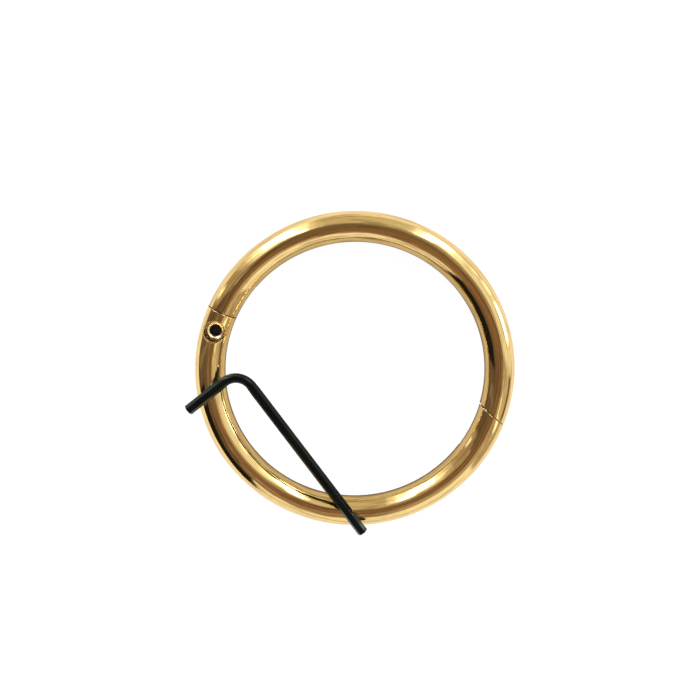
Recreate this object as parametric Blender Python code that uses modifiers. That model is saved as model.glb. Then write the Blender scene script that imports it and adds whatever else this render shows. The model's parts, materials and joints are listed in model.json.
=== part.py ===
"""Hinged locking ring of polished round bar, with its hex key lying across it.

Two half rings turn on a hidden hinge.  A steel tongue pinned into the upper half
closes into a fork in the lower half, and a short set screw in the tongue is driven
down into the fork's lower cheek to lock it.  The ring lies flat: +Z is up through
its axis and z = 0 is its underside.  The origin is the middle of the whole set's
footprint.  Units are metres.
"""
import math

import bmesh
import bpy
from mathutils import Vector

MM = 0.001

# ---------------------------------------------------------------- driving dimensions
RING_RADIUS = 38.5 * MM          # ring centre to the middle of the bar
BAR_RADIUS = 4.0 * MM
BAR_SIDES = 24
RING_STEPS = 96

LOCK_SEAM = 154.8                # degrees round the ring, anticlockwise from +X
HINGE_SEAM_INNER = -14.5         # the hinge seam is slanted: its inner end ...
HINGE_SEAM_OUTER = -20.0         # ... and its outer end, degrees round the ring
SEAM_GAP = 0.3 * MM

TONGUE_HEIGHTS = (1.7 * MM, 4.9 * MM)   # underside and top of the steel plates
LEAF_HEIGHTS = (1.4 * MM, 3.8 * MM)     # below the bar's middle, so it hides the slot
FIT_GAP = 0.1 * MM               # round pieces that are pressed or pinned together
RUN_GAP = 0.15 * MM              # above and below a plate that slides in its slot
END_GAP = 0.4 * MM               # between a plate's end and the end of its slot

HINGE_PIN_RADIUS = 1.0 * MM
HINGE_PIN_OFFSET = 9.0 * MM      # along the bar from the middle of the hinge seam
HINGE_PIN_OUTBOARD = 1.0 * MM    # outwards from the middle of the bar
EYE_RADIUS = 2.8 * MM
TAIL_LENGTH = 9.0 * MM           # the length of each plate inside the upper half
CROSS_PIN_RADIUS = 0.75 * MM
CROSS_PIN_STATIONS = (3.4 * MM, 6.8 * MM)
PIN_TOP = 6.9 * MM               # every pin hole is blind and opens on the underside
PIN_BOTTOM = 0.1 * MM
HINGE_PIN_BOTTOM = 0.6 * MM      # higher, because it stands off the middle of the bar
HOLE_END_GAP = 0.15 * MM

SCREW_STATION = 162.8            # degrees round the ring
SCREW_RADIUS = 2.4 * MM          # an M5 set screw, its thread left as a plain cylinder
SCREW_LENGTH = 3.0 * MM
SCREW_TOP = 4.75 * MM
SCREW_TRAVEL = 1.0 * MM
SCREW_CHAMFER = 0.4 * MM
SOCKET_ACROSS_FLATS = 2.55 * MM
SOCKET_DEPTH = 1.7 * MM
KEYHOLE_RADIUS = 2.8 * MM        # opening in the fork's upper cheek
TONGUE_TIP = 4.2 * MM            # from the screw's axis to the tongue's end

KEY_ACROSS_FLATS = 2.5 * MM
KEY_LONG_ARM = 56.5 * MM         # outer lengths, to the corner where the edges meet
KEY_SHORT_ARM = 18.8 * MM
KEY_LONG_DIRECTION = -54.1       # degrees from +X
KEY_SHORT_DIRECTION = 218.4
KEY_CORNER = (-30.0 * MM, 3.8 * MM)   # outer corner, from the ring's centre
KEY_OUTER_BEND = 6.4 * MM
KEY_BEND_POINTS = 9
KEY_LIFT = 0.2 * MM              # clear of the bar that it lies on
KEY_END_CHAMFER = 0.2 * MM

BAR_AXIS_Z = BAR_RADIUS
SLOT_OVERRUN = 5.0 * MM          # how far a slot's cutter passes out through the seam
ROUND_SIDES = 32
CUTTER_REACH = 6.0 * MM          # how far a slot cutter passes either side of the bar
CUTTER_MARGIN = 1.0 * MM         # how far a round cutter passes the face it opens
PIN_CHAMFER = 0.15 * MM

GOLD = (0.83, 0.60, 0.25, 1.0)
STEEL = (0.62, 0.61, 0.58, 1.0)
BLACK_OXIDE = (0.02, 0.02, 0.022, 1.0)


# ---------------------------------------------------------------- places in plan
def on_circle(radius, degrees):
    """A point round the ring's axis, from the ring's centre."""
    angle = math.radians(degrees)
    return Vector((radius * math.cos(angle), radius * math.sin(angle)))


def unit(degrees):
    return on_circle(1.0, degrees)


def along_bar(degrees, distance):
    """The station that lies distance further anticlockwise along the bar."""
    return degrees + math.degrees(distance / RING_RADIUS)


def key_corner_radius():
    """From the key's middle line to its edge in plan, across the hexagon's corners."""
    return KEY_ACROSS_FLATS / math.sqrt(3.0)


def key_end_corners():
    """The four end corners of the key in plan, from the ring's centre."""
    corner = Vector(KEY_CORNER)
    width = 2.0 * key_corner_radius()
    corners = []
    for direction, length, side in (
        (KEY_LONG_DIRECTION, KEY_LONG_ARM, -90.0),
        (KEY_SHORT_DIRECTION, KEY_SHORT_ARM, 90.0),
    ):
        outer = corner + unit(direction) * length
        corners.append(outer)
        corners.append(outer + unit(direction + side) * width)
    return corners


def footprint_middle():
    """The middle of the plan box round the ring and its key."""
    reach = RING_RADIUS + BAR_RADIUS
    low_x = min(min(point.x for point in key_end_corners()), -reach)
    low_y = min(min(point.y for point in key_end_corners()), -reach)
    return Vector(((low_x + reach) / 2.0, (low_y + reach) / 2.0))


CENTRE = -footprint_middle()     # the ring's centre, from the origin
HINGE_SEAM = (HINGE_SEAM_INNER + HINGE_SEAM_OUTER) / 2.0
HINGE_STATION = along_bar(HINGE_SEAM, -HINGE_PIN_OFFSET)
HINGE_POINT = on_circle(RING_RADIUS + HINGE_PIN_OUTBOARD, HINGE_STATION)
SCREW_POINT = on_circle(RING_RADIUS, SCREW_STATION)


# ---------------------------------------------------------------- scene helpers
def clear_scene():
    for item in list(bpy.data.objects):
        bpy.data.objects.remove(item, do_unlink=True)


def new_collection(name):
    collection = bpy.data.collections.new(name)
    bpy.context.scene.collection.children.link(collection)
    return collection


def metal(name, colour, roughness):
    """A Principled material of the piece's own colour."""
    material = bpy.data.materials.new(name)
    material.use_nodes = True
    shader = material.node_tree.nodes["Principled BSDF"]
    shader.inputs["Base Color"].default_value = colour
    shader.inputs["Metallic"].default_value = 1.0
    shader.inputs["Roughness"].default_value = roughness
    material.diffuse_color = colour
    return material


def add_part(name, mesh, material, parent=None, place=(0.0, 0.0, 0.0)):
    """Link a finished sub-part into the ring's collection, at a place in the world."""
    part = bpy.data.objects.new(name, mesh)
    PARTS.objects.link(part)
    if parent:
        part.parent = parent
        part.location = Vector(place) - parent.location
    else:
        part.location = place
    mesh.materials.clear()
    mesh.materials.append(material)
    return part


def add_cutter(name, mesh, place=(0.0, 0.0, 0.0)):
    cutter = bpy.data.objects.new(name, mesh)
    CUTTERS.objects.link(cutter)
    cutter.location = place
    cutter.hide_render = True
    cutter.display_type = "WIRE"
    return cutter


def cut(part, cutter, operation="DIFFERENCE"):
    modifier = part.modifiers.new(cutter.name, "BOOLEAN")
    modifier.operation = operation
    modifier.object = cutter


def over_centre(height=0.0):
    """A world place straight above the ring's centre."""
    return (CENTRE.x, CENTRE.y, height)


# ---------------------------------------------------------------- mesh helpers
def cylinder_mesh(name, radius, low, high, chamfer=0.0, sides=ROUND_SIDES):
    """An upright cylinder about its own origin, from low to high."""
    mesh = bpy.data.meshes.new(name)
    body = bmesh.new()
    bmesh.ops.create_cone(body, cap_ends=True, segments=sides, radius1=radius,
                          radius2=radius, depth=high - low)
    bmesh.ops.translate(body, verts=body.verts, vec=(0.0, 0.0, (low + high) / 2.0))
    if chamfer:
        rims = [edge for edge in body.edges
                if abs(edge.verts[0].co.z - edge.verts[1].co.z) < chamfer / 2.0]
        bmesh.ops.bevel(body, geom=rims, offset=chamfer, segments=1, affect="EDGES")
    body.to_mesh(mesh)
    body.free()
    mesh.shade_smooth()
    mesh.set_sharp_from_angle(angle=math.radians(30.0))
    return mesh


def outline_mesh(name, points, low, high):
    """A flat plate: an outline in plan, given anticlockwise, from low to high."""
    curve = bpy.data.curves.new(name, "CURVE")
    curve.dimensions = "2D"
    curve.fill_mode = "BOTH"
    curve.extrude = (high - low) / 2.0
    spline = curve.splines.new("POLY")
    spline.points.add(len(points) - 1)
    for spline_point, point in zip(spline.points, points):
        spline_point.co = (point.x, point.y, 0.0, 1.0)
    spline.use_cyclic_u = True
    mesh = mesh_from_curve(name, curve)
    for vertex in mesh.vertices:
        vertex.co.z += (low + high) / 2.0
    return mesh


def mesh_from_curve(name, curve):
    """Evaluate a curve, weld its loose caps and return one closed mesh."""
    guide = bpy.data.objects.new(name + "_curve", curve)
    CUTTERS.objects.link(guide)
    bpy.context.view_layer.update()
    evaluated = guide.evaluated_get(bpy.context.evaluated_depsgraph_get())
    mesh = bpy.data.meshes.new_from_object(evaluated)
    mesh.name = name
    bpy.data.objects.remove(guide, do_unlink=True)
    body = bmesh.new()
    body.from_mesh(mesh)
    bmesh.ops.remove_doubles(body, verts=body.verts, dist=0.01 * MM)
    bmesh.ops.recalc_face_normals(body, faces=body.faces)
    body.to_mesh(mesh)
    body.free()
    return mesh


def arc(centre, radius, start, end, steps):
    """Points on an arc in plan, with both ends."""
    span = (end - start) / steps
    return [centre + on_circle(radius, start + span * index) for index in range(steps + 1)]


# ---------------------------------------------------------------- the round bar
def bar_section_mesh():
    """The bar's section at +X, a round outline with a small flat at the bottom."""
    reach = BAR_RADIUS / math.cos(math.pi / BAR_SIDES)
    body = bmesh.new()
    corners = []
    for index in range(BAR_SIDES):
        angle = math.pi / 2.0 - 2.0 * math.pi * (index + 0.5) / BAR_SIDES
        corner = (RING_RADIUS + reach * math.cos(angle), 0.0, reach * math.sin(angle))
        corners.append(body.verts.new(corner))
    for first, second in zip(corners, corners[1:] + corners[:1]):
        body.edges.new((first, second))
    mesh = bpy.data.meshes.new("bar_section")
    body.to_mesh(mesh)
    body.free()
    return mesh


def turn_section(item):
    """Sweep the bar's section once round the ring's axis."""
    screw = item.modifiers.new("round_the_ring", "SCREW")
    screw.axis = "Z"
    screw.angle = 2.0 * math.pi
    screw.steps = RING_STEPS
    screw.render_steps = RING_STEPS
    screw.use_merge_vertices = True
    screw.merge_threshold = 0.01 * MM
    screw.use_smooth_shade = True


def seam_line(inner_station, outer_station, shift):
    """Two points on a seam's face, moved by shift anticlockwise along the bar."""
    inner = on_circle(RING_RADIUS - BAR_RADIUS, inner_station)
    outer = on_circle(RING_RADIUS + BAR_RADIUS, outer_station)
    across = (outer - inner).normalized()
    facing = Vector((-across.y, across.x))
    beyond = across * 2.0 * BAR_RADIUS
    return inner - beyond + facing * shift, outer + beyond + facing * shift


def upper_region_mesh(name, shrink):
    """Everything on the upper side of both seams; shrink draws its faces inwards."""
    hinge_in, hinge_out = seam_line(HINGE_SEAM_INNER, HINGE_SEAM_OUTER, shrink)
    lock_in, lock_out = seam_line(LOCK_SEAM, LOCK_SEAM, -shrink)
    far = 2.0 * RING_RADIUS
    points = [hinge_in, hinge_out, Vector((far, -far / 2.0)), Vector((far, far)),
              Vector((-far, far)), lock_out, lock_in]
    return outline_mesh(name, points, -2.0 * BAR_RADIUS, 2.0 * BAR_RADIUS)


def slot_mesh(name, station, start, end, heights, gap):
    """A full-width slot for a plate; start and end are measured along the tangent."""
    tangent = unit(station + 90.0)
    outward = unit(station)
    middle = on_circle(RING_RADIUS, station)
    points = [middle + tangent * start - outward * CUTTER_REACH,
              middle + tangent * start + outward * CUTTER_REACH,
              middle + tangent * end + outward * CUTTER_REACH,
              middle + tangent * end - outward * CUTTER_REACH]
    return outline_mesh(name, points, heights[0] - gap, heights[1] + gap)


def cut_pin_hole(part, name, point, radius):
    """A blind hole for a pin, open on the underside of the bar."""
    mesh = cylinder_mesh(name, radius + FIT_GAP, -CUTTER_MARGIN, PIN_TOP + HOLE_END_GAP)
    cut(part, add_cutter(name, mesh, place_at(point)))


def place_at(point, height=0.0):
    """The world place of a point that is given from the ring's centre."""
    return (CENTRE.x + point.x, CENTRE.y + point.y, height)


def cross_pin_points(seam_station, direction):
    """Where the two pins that hold a plate stand, along the bar from its seam."""
    return [on_circle(RING_RADIUS, along_bar(seam_station, direction * distance))
            for distance in CROSS_PIN_STATIONS]


def make_upper_half(hinge_axis):
    """The half that swings: both its ends are slotted for a pinned plate."""
    half = add_part("upper_half", bar_section_mesh(), GOLD_PLATE, hinge_axis,
                    over_centre(BAR_AXIS_Z))
    turn_section(half)
    region = upper_region_mesh("upper_region", SEAM_GAP / 2.0)
    cut(half, add_cutter("upper_region", region, over_centre(BAR_AXIS_Z)), "INTERSECT")
    slot = slot_mesh("tongue_tail_slot", LOCK_SEAM, -TAIL_LENGTH - END_GAP, SLOT_OVERRUN,
                     TONGUE_HEIGHTS, FIT_GAP)
    cut(half, add_cutter("tongue_tail_slot", slot, over_centre()))
    slot = slot_mesh("leaf_tail_slot", HINGE_SEAM, -SLOT_OVERRUN, TAIL_LENGTH + END_GAP,
                     LEAF_HEIGHTS, FIT_GAP)
    cut(half, add_cutter("leaf_tail_slot", slot, over_centre()))
    for number, point in enumerate(cross_pin_points(LOCK_SEAM, -1.0), 1):
        cut_pin_hole(half, f"tongue_pin_hole_{number}", point, CROSS_PIN_RADIUS)
    for number, point in enumerate(cross_pin_points(HINGE_SEAM, 1.0), 1):
        cut_pin_hole(half, f"leaf_pin_hole_{number}", point, CROSS_PIN_RADIUS)


def make_lower_half():
    """The half that stays still: a fork at each end, and the keyhole at the lock."""
    half = add_part("lower_half", bar_section_mesh(), GOLD_PLATE,
                    place=over_centre(BAR_AXIS_Z))
    turn_section(half)
    region = upper_region_mesh("lower_region", -SEAM_GAP / 2.0)
    cut(half, add_cutter("lower_region", region, over_centre(BAR_AXIS_Z)))

    slot = slot_mesh("tongue_slot", LOCK_SEAM, -SLOT_OVERRUN, tongue_length() + END_GAP,
                     TONGUE_HEIGHTS, RUN_GAP)
    cut(half, add_cutter("tongue_slot", slot, over_centre()))
    slot = slot_mesh("leaf_slot", HINGE_STATION, -EYE_RADIUS - END_GAP,
                     HINGE_PIN_OFFSET + SLOT_OVERRUN, LEAF_HEIGHTS, RUN_GAP)
    cut(half, add_cutter("leaf_slot", slot, over_centre()))
    cut_pin_hole(half, "hinge_pin_hole", HINGE_POINT, HINGE_PIN_RADIUS)

    keyhole = cylinder_mesh("keyhole", KEYHOLE_RADIUS, TONGUE_HEIGHTS[1] - CUTTER_MARGIN,
                            2.0 * BAR_RADIUS + CUTTER_MARGIN)
    cut(half, add_cutter("keyhole", keyhole, place_at(SCREW_POINT)))
    floor = SCREW_TOP - SCREW_LENGTH - SCREW_TRAVEL - HOLE_END_GAP
    lock_hole = cylinder_mesh("lock_hole", SCREW_RADIUS + FIT_GAP, floor,
                              TONGUE_HEIGHTS[0] + CUTTER_MARGIN)
    cut(half, add_cutter("lock_hole", lock_hole, place_at(SCREW_POINT)))


# ---------------------------------------------------------------- plates and pins
def trim_to_bar(plate):
    """Bring a plate's edges flush with the outside of the bar."""
    bar = add_cutter(plate.name + "_bar", bar_section_mesh(), over_centre(BAR_AXIS_Z))
    turn_section(bar)
    cut(plate, bar, "INTERSECT")


def tongue_length():
    """From the lock seam to the tongue's end, along the tangent at the seam."""
    tangent = unit(LOCK_SEAM + 90.0)
    return (SCREW_POINT - on_circle(RING_RADIUS, LOCK_SEAM)).dot(tangent) + TONGUE_TIP


def make_tongue(hinge_axis):
    """The steel tongue: its tail is pinned in the upper half, its tip takes the screw."""
    tangent = unit(LOCK_SEAM + 90.0)
    outward = unit(LOCK_SEAM)
    seam = on_circle(RING_RADIUS, LOCK_SEAM)
    tail = seam - tangent * TAIL_LENGTH
    tip = seam + tangent * tongue_length()
    points = [tail + outward * CUTTER_REACH, tip + outward * CUTTER_REACH,
              tip - outward * CUTTER_REACH, tail - outward * CUTTER_REACH]
    tongue = add_part("lock_tongue", outline_mesh("lock_tongue", points, *TONGUE_HEIGHTS),
                      BARE_STEEL, hinge_axis, over_centre())
    trim_to_bar(tongue)
    hole = cylinder_mesh("tongue_screw_hole", SCREW_RADIUS + FIT_GAP, 0.0, 2.0 * BAR_RADIUS)
    cut(tongue, add_cutter("tongue_screw_hole", hole, place_at(SCREW_POINT)))
    for number, point in enumerate(cross_pin_points(LOCK_SEAM, -1.0), 1):
        cut_pin_hole(tongue, f"tongue_bore_{number}", point, CROSS_PIN_RADIUS)


def make_hinge_leaf(hinge_axis):
    """The steel leaf: its tail is pinned in the upper half, its eye turns on the pin."""
    seam_in, seam_out = seam_line(HINGE_SEAM_INNER, HINGE_SEAM_OUTER, SEAM_GAP / 2.0)
    tangent = unit(HINGE_STATION + 90.0)
    outward = unit(HINGE_STATION)
    tail = on_circle(RING_RADIUS, HINGE_SEAM) + unit(HINGE_SEAM + 90.0) * TAIL_LENGTH
    tail_out = unit(HINGE_SEAM)
    neck_out = meet(HINGE_POINT + outward * EYE_RADIUS, tangent, seam_in, seam_out)
    neck_in = meet(HINGE_POINT - outward * EYE_RADIUS, tangent, seam_in, seam_out)
    points = [tail - tail_out * CUTTER_REACH, seam_in, neck_in]
    points += arc(HINGE_POINT, EYE_RADIUS, HINGE_STATION - 180.0, HINGE_STATION, 16)
    points += [neck_out, seam_out, tail + tail_out * CUTTER_REACH]
    leaf = add_part("hinge_leaf", outline_mesh("hinge_leaf", points, *LEAF_HEIGHTS),
                    BARE_STEEL, hinge_axis, over_centre())
    trim_to_bar(leaf)
    cut_pin_hole(leaf, "leaf_eye", HINGE_POINT, HINGE_PIN_RADIUS)
    for number, point in enumerate(cross_pin_points(HINGE_SEAM, 1.0), 1):
        cut_pin_hole(leaf, f"leaf_bore_{number}", point, CROSS_PIN_RADIUS)


def meet(start, direction, first, second):
    """Where a line from start meets the line through two points, in plan."""
    side = Vector((second.y - first.y, first.x - second.x))
    distance = (first - start).dot(side) / direction.dot(side)
    return start + direction * distance


def make_pins(hinge_axis):
    """The hinge pin stays in the lower half; two cross pins hold each plate."""
    pin = cylinder_mesh("hinge_pin", HINGE_PIN_RADIUS, HINGE_PIN_BOTTOM, PIN_TOP, PIN_CHAMFER)
    add_part("hinge_pin", pin, BARE_STEEL, place=place_at(HINGE_POINT))
    cross_pin = cylinder_mesh("cross_pin", CROSS_PIN_RADIUS, PIN_BOTTOM, PIN_TOP, PIN_CHAMFER)
    for prefix, station, direction in (
        ("tongue_pin", LOCK_SEAM, -1.0),
        ("leaf_pin", HINGE_SEAM, 1.0),
    ):
        for number, point in enumerate(cross_pin_points(station, direction), 1):
            add_part(f"{prefix}_{number}", cross_pin, BARE_STEEL, hinge_axis, place_at(point))


# ---------------------------------------------------------------- lock screw and key
def make_lock_screw(hinge_axis):
    """The short set screw that stays in the tongue, with its hex socket."""
    mesh = cylinder_mesh("lock_screw", SCREW_RADIUS, -SCREW_LENGTH, 0.0, SCREW_CHAMFER)
    screw = add_part("lock_screw", mesh, GOLD_PLATE, hinge_axis,
                     place_at(SCREW_POINT, SCREW_TOP))
    corner = SOCKET_ACROSS_FLATS / math.sqrt(3.0)
    socket = cylinder_mesh("screw_socket", corner, -SOCKET_DEPTH, CUTTER_MARGIN, sides=6)
    cut(screw, add_cutter("screw_socket", socket, place_at(SCREW_POINT, SCREW_TOP)))


def key_middle_line():
    """The key's middle line in plan: a long arm, a round bend and a short arm."""
    half = key_corner_radius()
    bend = KEY_OUTER_BEND - half
    long_way = unit(KEY_LONG_DIRECTION)
    short_way = unit(KEY_SHORT_DIRECTION)
    long_in = unit(KEY_LONG_DIRECTION - 90.0)
    short_in = unit(KEY_SHORT_DIRECTION + 90.0)
    corner = Vector(KEY_CORNER)
    inner_corner = meet(corner + long_in * KEY_OUTER_BEND, long_way,
                        corner + short_in * KEY_OUTER_BEND,
                        corner + short_in * KEY_OUTER_BEND + short_way)
    start = KEY_LONG_DIRECTION + 90.0
    sweep = (KEY_SHORT_DIRECTION - 90.0) - start
    points = [corner + long_way * KEY_LONG_ARM + long_in * half]
    points += arc(inner_corner, bend, start, start + sweep, KEY_BEND_POINTS - 1)
    points.append(corner + short_way * KEY_SHORT_ARM + short_in * half)
    return points


def make_hex_key():
    """The hex key, lying with a flat down on top of the lower half."""
    points = key_middle_line()
    curve = bpy.data.curves.new("hex_key", "CURVE")
    curve.dimensions = "3D"
    curve.bevel_depth = key_corner_radius()
    curve.bevel_resolution = 1
    curve.use_fill_caps = True
    spline = curve.splines.new("POLY")
    spline.points.add(len(points) - 1)
    for spline_point, point in zip(spline.points, points):
        spline_point.co = (point.x, point.y, 0.0, 1.0)
    mesh = mesh_from_curve("hex_key", curve)
    height = 2.0 * BAR_RADIUS + KEY_LIFT + KEY_ACROSS_FLATS / 2.0
    key = add_part("hex_key", mesh, OXIDE_BLACK, place=over_centre(height))
    ends = key.modifiers.new("end_chamfer", "BEVEL")
    ends.width = KEY_END_CHAMFER
    ends.segments = 1
    ends.limit_method = "ANGLE"
    ends.angle_limit = math.radians(75.0)


# ---------------------------------------------------------------- build
def build():
    hinge_axis = bpy.data.objects.new("hinge_axis", None)
    PARTS.objects.link(hinge_axis)
    hinge_axis.location = place_at(HINGE_POINT, BAR_AXIS_Z)
    make_lower_half()
    make_upper_half(hinge_axis)
    make_tongue(hinge_axis)
    make_hinge_leaf(hinge_axis)
    make_pins(hinge_axis)
    make_lock_screw(hinge_axis)
    make_hex_key()


clear_scene()
PARTS = new_collection("hinged_locking_ring")
CUTTERS = new_collection("cutters")
GOLD_PLATE = metal("gold_plate", GOLD, 0.12)
BARE_STEEL = metal("bare_steel", STEEL, 0.3)
OXIDE_BLACK = metal("oxide_black", BLACK_OXIDE, 0.4)
build()
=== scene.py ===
import json
import math

import bmesh
import bpy
from mathutils import Matrix, Vector


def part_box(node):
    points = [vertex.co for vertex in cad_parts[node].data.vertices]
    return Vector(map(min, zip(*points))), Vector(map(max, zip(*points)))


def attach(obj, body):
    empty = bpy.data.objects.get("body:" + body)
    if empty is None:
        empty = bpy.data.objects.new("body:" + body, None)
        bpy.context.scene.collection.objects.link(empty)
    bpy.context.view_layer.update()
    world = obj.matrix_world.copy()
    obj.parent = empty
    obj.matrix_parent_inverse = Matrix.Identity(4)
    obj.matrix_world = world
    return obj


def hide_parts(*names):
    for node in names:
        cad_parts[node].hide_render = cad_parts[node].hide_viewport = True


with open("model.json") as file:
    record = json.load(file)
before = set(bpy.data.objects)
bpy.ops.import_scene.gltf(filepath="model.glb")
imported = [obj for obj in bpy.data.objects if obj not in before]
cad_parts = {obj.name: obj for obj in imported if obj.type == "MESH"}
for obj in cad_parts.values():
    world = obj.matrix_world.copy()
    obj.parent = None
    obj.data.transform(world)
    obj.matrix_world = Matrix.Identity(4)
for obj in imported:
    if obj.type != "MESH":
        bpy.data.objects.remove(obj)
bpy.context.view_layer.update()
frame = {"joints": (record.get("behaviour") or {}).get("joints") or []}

# ------------------------------------------------------------------ where it lies
# The ring lies flat on the table and its key lies across it.  Everything is placed
# from the ring's own middle, which is the middle of the box round its two halves.
MM = 0.001
RING_RADIUS = 38.5 * MM          # ring's middle to the middle of the bar
BAR_RADIUS = 4.0 * MM

half_boxes = [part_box("lower_half"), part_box("upper_half")]
lows = [box[0] for box in half_boxes]
highs = [box[1] for box in half_boxes]
CENTRE = Vector((
    (min(low.x for low in lows) + max(high.x for high in highs)) / 2.0,
    (min(low.y for low in lows) + max(high.y for high in highs)) / 2.0,
    0.0,
))


def from_centre(radius, degrees, height=0.0):
    """A point round the ring's axis, in the world."""
    angle = math.radians(degrees)
    return CENTRE + Vector((radius * math.cos(angle), radius * math.sin(angle), height))


def plan_way(degrees):
    """The direction in plan that lies so many degrees anticlockwise from +X."""
    return from_centre(1.0, degrees) - CENTRE


# ------------------------------------------------------------------ camera
# A camera almost straight above the ring, leaning a little towards its top edge.
CAMERA_LEAN = Vector((-0.023, 0.201, 1.0)).normalized()
CAMERA_DISTANCE = 250.0 * MM
CAMERA_AIM = Vector((-1.413 * MM, 5.944 * MM, BAR_RADIUS))
CAMERA_LENS = 48.26              # lens and sensor in millimetres
CAMERA_SENSOR = 36.0
CAMERA_NEAREST = 10.0 * MM

camera_place = CENTRE + Vector((0.0, 0.0, BAR_RADIUS)) + CAMERA_LEAN * CAMERA_DISTANCE
backwards = (camera_place - (CENTRE + CAMERA_AIM)).normalized()
sideways = Vector((0.0, 1.0, 0.0)).cross(backwards).normalized()
upwards = backwards.cross(sideways)
camera_data = bpy.data.cameras.new("camera")
camera_data.lens = CAMERA_LENS
camera_data.sensor_width = CAMERA_SENSOR
camera_data.clip_start = CAMERA_NEAREST
camera_data.dof.use_dof = False
camera = bpy.data.objects.new("camera", camera_data)
bpy.context.scene.collection.objects.link(camera)
camera.matrix_world = Matrix.Translation(camera_place) @ Matrix(
    (sideways, upwards, backwards)).transposed().to_4x4()
bpy.context.scene.camera = camera
bpy.context.scene.view_settings.view_transform = "Standard"


# ------------------------------------------------------------------ studio surroundings
# Polished metal shows the room it stands in.  This room has two tall soft lights, a
# wide pale wall in front, a dark doorway at the left and a dim ceiling.
class Signal:
    """One output of a node; arithmetic on it adds Math nodes to the same tree."""

    def __init__(self, tree, socket):
        self.tree = tree
        self.socket = socket

    def node(self, kind, settings=None, inputs=None, output=0):
        """Add any node: settings first, then the values or links of its sockets."""
        return wire(self.tree, kind, settings, inputs, output)

    def maths(self, operation, *values):
        """Add a Math node on any mix of signals and numbers."""
        return self.node("ShaderNodeMath", {"operation": operation},
                         dict(enumerate(values)))

    def __add__(self, other):
        return self.maths("ADD", self, other)

    def __sub__(self, other):
        return self.maths("SUBTRACT", self, other)

    def __mul__(self, other):
        return self.maths("MULTIPLY", self, other)

    def __truediv__(self, other):
        return self.maths("DIVIDE", self, other)

    def __radd__(self, other):
        return self.maths("ADD", other, self)

    def __rsub__(self, other):
        return self.maths("SUBTRACT", other, self)

    def __rmul__(self, other):
        return self.maths("MULTIPLY", other, self)

    def step(self, low, high):
        """Rise smoothly from 0 at low to 1 at high."""
        return self.node("ShaderNodeMapRange", {"interpolation_type": "SMOOTHSTEP"},
                         {"Value": self, "From Min": low, "From Max": high})

    def between(self, low, high, softness):
        """1 between low and high, with edges that are softness wide."""
        rise = self.step(low - softness / 2.0, low + softness / 2.0)
        fall = self.step(high - softness / 2.0, high + softness / 2.0)
        return rise * (1.0 - fall)


def wire(tree, kind, settings=None, inputs=None, output=0):
    """Add a node to a tree and return one of its outputs."""
    node = tree.nodes.new(kind)
    for name, value in (settings or {}).items():
        setattr(node, name, value)
    for name, value in (inputs or {}).items():
        socket = node.inputs[name]
        if isinstance(value, Signal):
            tree.links.new(value.socket, socket)
        else:
            socket.default_value = value
    return Signal(tree, node.outputs[output]) if len(node.outputs) else None


def blend_colours(factor, first, second):
    """Mix two colours by a signal or a number."""
    tree = next(item.tree for item in (factor, first, second) if isinstance(item, Signal))
    return wire(tree, "ShaderNodeMix", {"data_type": "RGBA"},
                {0: factor, 6: first, 7: second}, output=2)


def split(vector):
    """The three parts of a vector."""
    return [vector.node("ShaderNodeSeparateXYZ", None, {0: vector}, part)
            for part in range(3)]


WHITE = (1.0, 1.0, 1.0, 1.0)
ROOM_WALLS = (0.66, 0.59, 0.48, 1.0)
ROOM_WALLS_DIMMER = (0.56, 0.50, 0.41, 1.0)
CEILING = (0.18, 0.13, 0.085, 1.0)
SOFT_LIGHT = (14.0, 14.0, 14.4, 1.0)
LIGHT_GLOW = (1.7, 1.65, 1.55, 1.0)
LIGHT_EDGE = (6.5, 6.4, 6.3, 1.0)
CEILING_EDGE = (math.radians(58.0), math.radians(80.0))      # above the horizon

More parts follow.
